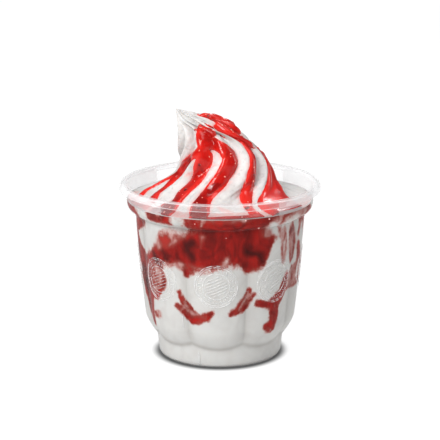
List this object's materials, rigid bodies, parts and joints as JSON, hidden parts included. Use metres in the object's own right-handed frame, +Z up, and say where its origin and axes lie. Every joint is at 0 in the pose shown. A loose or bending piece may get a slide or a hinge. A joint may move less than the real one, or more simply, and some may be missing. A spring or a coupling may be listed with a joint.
{
  "type": "ice cream sundae",
  "caption": "Soft ice cream sundae in a clear fluted plastic cup with a rolled rim, layered and streaked with red fruit sauce, under a ridged swirl whose tip leans to one side.",
  "frame": {"origin": "the middle of the cup's foot, on the surface that it stands on", "axes": "+Z up along the cup's axis, -Y towards the front, +X to the right; the swirl's tip leans towards -X"},
  "size_m": [0.0948, 0.0948, 0.1179],
  "materials": {
    "clear_plastic": "clear, thin and glossy",
    "ice_cream": "soft, slightly moist vanilla soft serve",
    "fruit_sauce": "wet, glossy, with seeds and pieces of fruit"
  },
  "bodies": {
    "root": {"cup": "clear_plastic", "ice_cream_lower": "ice_cream", "sauce_layer": "fruit_sauce", "ice_cream_swirl": "ice_cream"}
  },
  "joints": []
}
